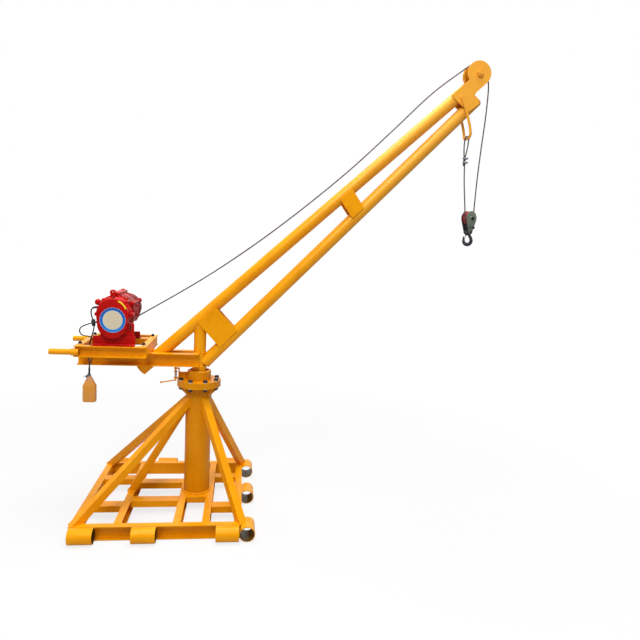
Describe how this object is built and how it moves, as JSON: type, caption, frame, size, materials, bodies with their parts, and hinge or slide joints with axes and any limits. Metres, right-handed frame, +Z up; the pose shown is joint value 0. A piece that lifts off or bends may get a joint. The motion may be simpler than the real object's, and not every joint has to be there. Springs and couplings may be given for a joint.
{
  "type": "portable slewing mini crane",
  "caption": "Portable mini crane: braced post on a channel base, slewing two-tube jib, electric rope winch on the counter arm and a hook block.",
  "frame": {"origin": "the slewing axis at floor level, under the base", "axes": "+Z up along the slewing axis, +X towards the jib's head at rest, +Y to the back"},
  "size_m": [2.577, 1.1546, 2.876],
  "materials": {
    "crane_paint": "satin yellow enamel",
    "black_bolts": "black oxide",
    "zinc": "zinc plated",
    "winch_paint": "gloss red enamel",
    "wire_rope": "greased steel wire rope",
    "drum_iron": "black painted iron",
    "block_paint": "grey-green enamel",
    "sheave_paint": "red enamel",
    "hook_steel": "forged, blackened",
    "black_plastic": "moulded",
    "cord_rubber": "smooth sheath",
    "pendant_plastic": "moulded"
  },
  "bodies": {
    "base": {"base_front_beam": "crane_paint", "base_back_beam": "crane_paint", "base_left_beam": "crane_paint", "base_right_beam": "crane_paint", "base_long_beams": "crane_paint", "base_cross_members": "crane_paint", "front_sleeves": "crane_paint", "back_sleeves": "crane_paint", "side_sleeves": "crane_paint", "post": "crane_paint", "post_flange": "crane_paint", "brace_front_left": "crane_paint", "brace_back_left": "crane_paint", "brace_middle": "crane_paint", "brace_front_right": "crane_paint", "brace_back_right": "crane_paint", "bearing_cap": "crane_paint", "flange_bolts": "black_bolts", "lock_bracket": "crane_paint"},
    "lock": {"lock_pin": "crane_paint", "lock_spring": "zinc"},
    "jib": {"slewing_shaft": "crane_paint", "mast_tube": "crane_paint", "rail_front": "crane_paint", "rail_back": "crane_paint", "upper_jib_tube": "crane_paint", "lower_jib_tube": "crane_paint", "foot_gussets": "crane_paint", "mid_plates": "crane_paint", "head_plates": "crane_paint", "head_pin": "crane_paint", "anchor_bar": "crane_paint", "tray_frame": "crane_paint", "tray_bearer": "crane_paint", "tray_bolts": "black_bolts", "push_handles": "crane_paint", "winch_base": "winch_paint", "winch_housing": "winch_paint", "winch_motor": "winch_paint", "cable_glands": "black_plastic", "rope_run": "wire_rope", "rope_anchor": "wire_rope", "live_fall": "wire_rope", "dead_fall": "wire_rope", "pendant_cable": "cord_rubber", "mains_lead": "cord_rubber", "mains_plug": "black_plastic", "pendant": "pendant_plastic"},
    "drum": {"drum": "drum_iron"},
    "head_sheave": {"head_sheave": "crane_paint"},
    "block": {"block_frame": "block_paint", "block_rope": "wire_rope"},
    "block_sheave": {"block_sheave": "sheave_paint"},
    "hook": {"hook": "hook_steel"},
    "latch": {"hook_latch": "zinc"}
  },
  "joints": [
    {"name": "slew", "type": "hinge", "parent": "base", "child": "jib", "pos_m": [0, 0, 0.8], "axis": [0, 0, 1], "continuous": true},
    {"name": "lock_release", "type": "slide", "parent": "base", "child": "lock", "axis": [0, 0, 1], "range_m": [-0.018, 0], "stiffness_N_per_m": 900, "springref_m": 0.01, "deforming": ["lock_spring"]},
    {"name": "hook_hoist", "type": "slide", "parent": "jib", "child": "block", "axis": [0, 0, 1], "range_m": [-1.6, 0.2], "deforming": ["live_fall", "dead_fall"]},
    {"name": "drum_spin", "type": "hinge", "parent": "jib", "child": "drum", "pos_m": [-0.483, 0, 1.231], "axis": [0, 1, 0], "continuous": true},
    {"name": "head_sheave_spin", "type": "hinge", "parent": "jib", "child": "head_sheave", "pos_m": [1.676, 0, 2.8], "axis": [0, 1, 0], "continuous": true},
    {"name": "block_sheave_spin", "type": "hinge", "parent": "block", "child": "block_sheave", "pos_m": [1.698, 0, 1.908], "axis": [-0.454, 0.891, 0], "continuous": true},
    {"name": "hook_swivel", "type": "hinge", "parent": "block", "child": "hook", "pos_m": [1.698, 0, 1.8], "axis": [0, 0, 1], "continuous": true},
    {"name": "hook_latch", "type": "hinge", "parent": "hook", "child": "latch", "pos_m": [1.68672, 0.0041, 1.798], "axis": [0.342, 0.9397, 0], "range_deg": [-32, 0], "stiffness_Nm_per_rad": 0.02, "springref_deg": 28.65}
  ],
  "couplings": [
    {"joint": "drum_spin", "follows": "hook_hoist", "rad_per_m": 23.809},
    {"joint": "head_sheave_spin", "follows": "hook_hoist", "rad_per_m": -27.778},
    {"joint": "block_sheave_spin", "follows": "hook_hoist", "rad_per_m": -23.809}
  ]
}
